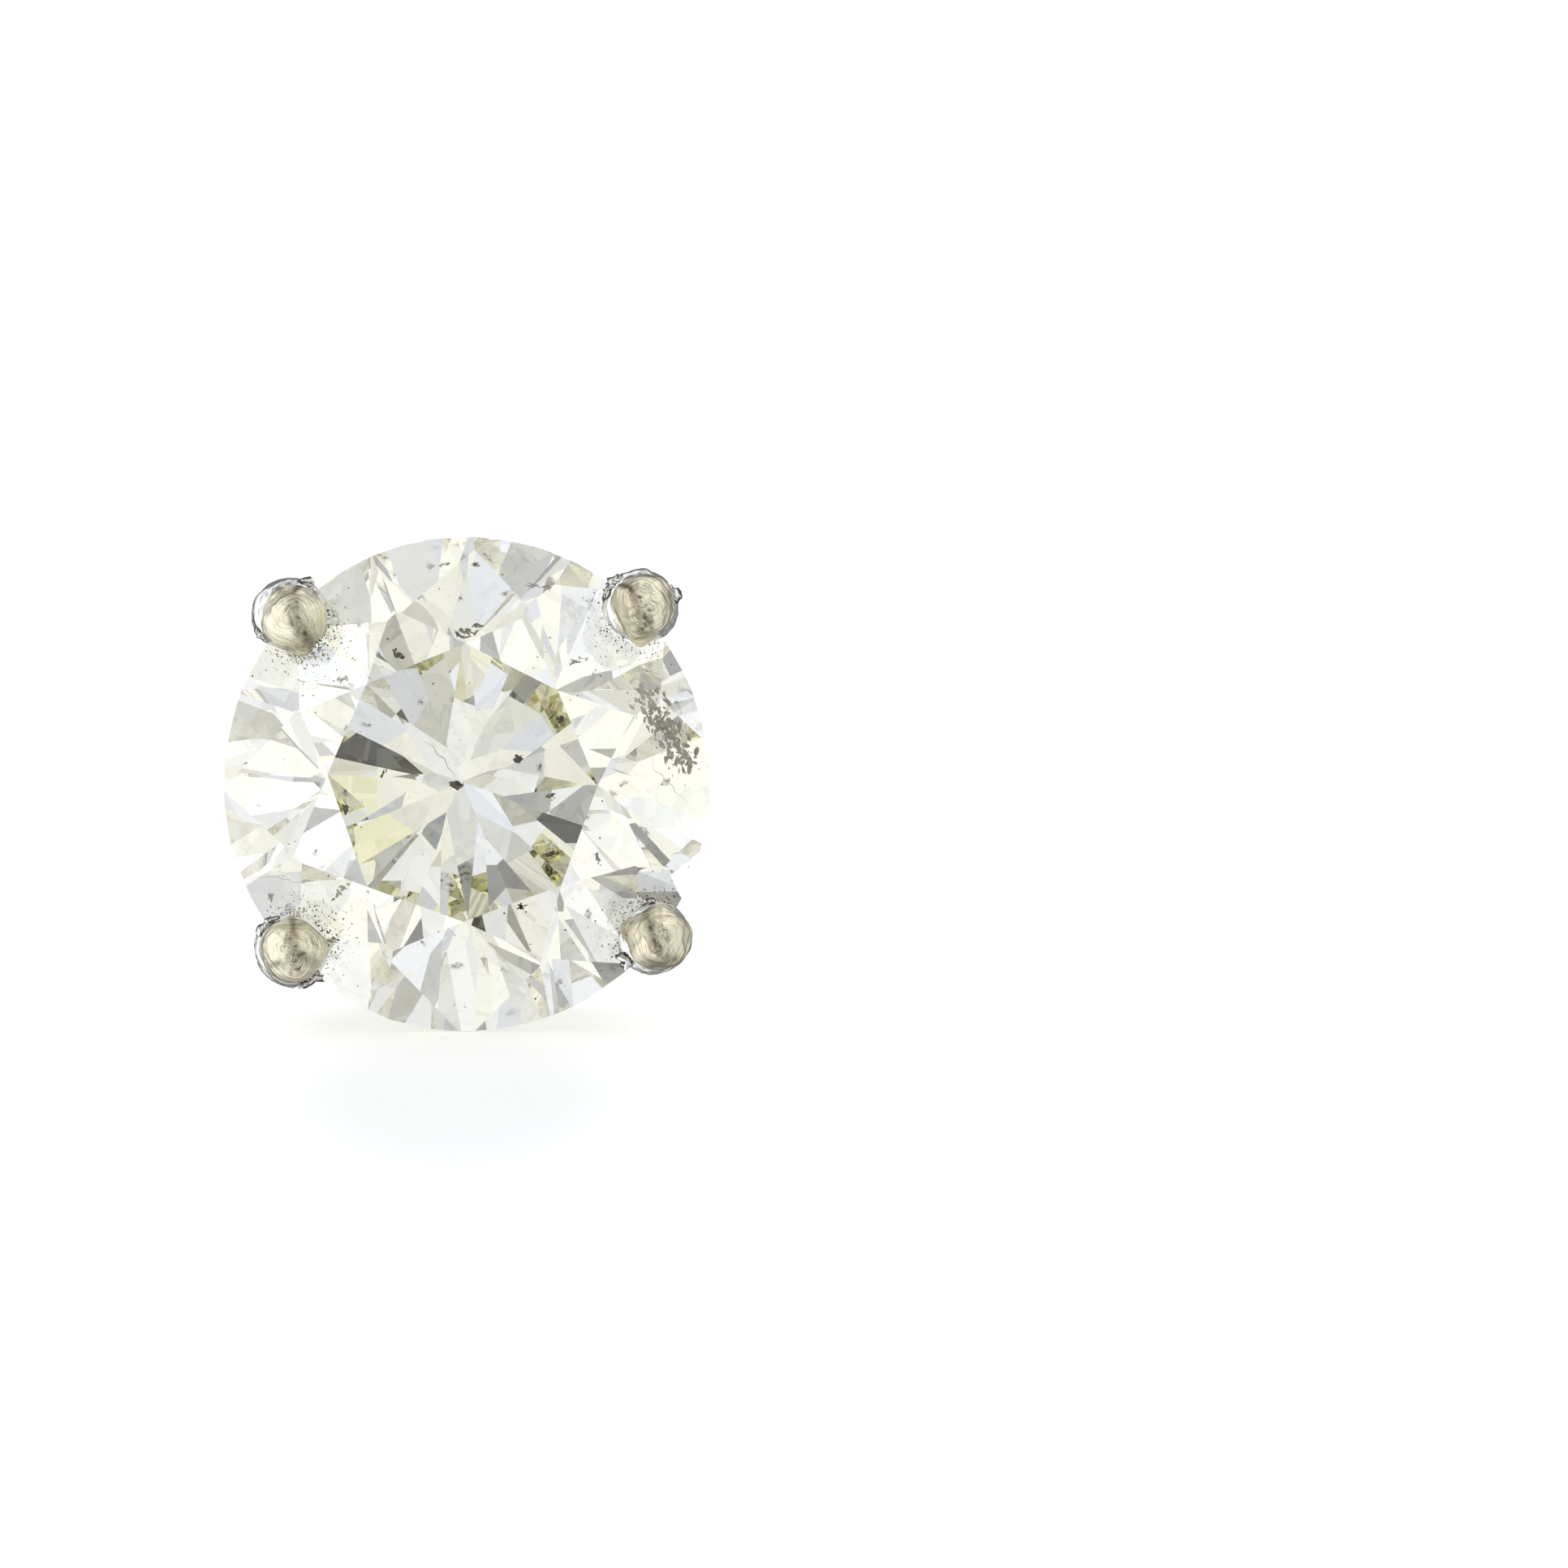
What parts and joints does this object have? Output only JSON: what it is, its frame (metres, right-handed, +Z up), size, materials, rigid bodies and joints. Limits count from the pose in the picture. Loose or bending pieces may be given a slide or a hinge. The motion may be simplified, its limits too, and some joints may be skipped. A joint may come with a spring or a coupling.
{
  "type": "stud earring",
  "caption": "Stud earring with a round brilliant-cut stone in a four-prong basket, a straight post and a friction back.",
  "frame": {"origin": "on the table that the earring rests on, below the middle of its length and of its width", "axes": "+Z up from the table, +Y back along the post, -Y out of the stone's face, +X to the right as the face is seen"},
  "size_m": [0.0064, 0.0152, 0.0065],
  "materials": {
    "stone": "polished transparent stone, very pale yellow, with small dark and white inclusions",
    "setting": "pale warm white gold, polished and worn, with burnishing marks on the prong tips",
    "friction_back": "pale white gold strip, polished, with light rubbing"
  },
  "bodies": {
    "root": {"stone": "stone", "setting": "setting", "friction_back": "friction_back"}
  },
  "joints": []
}
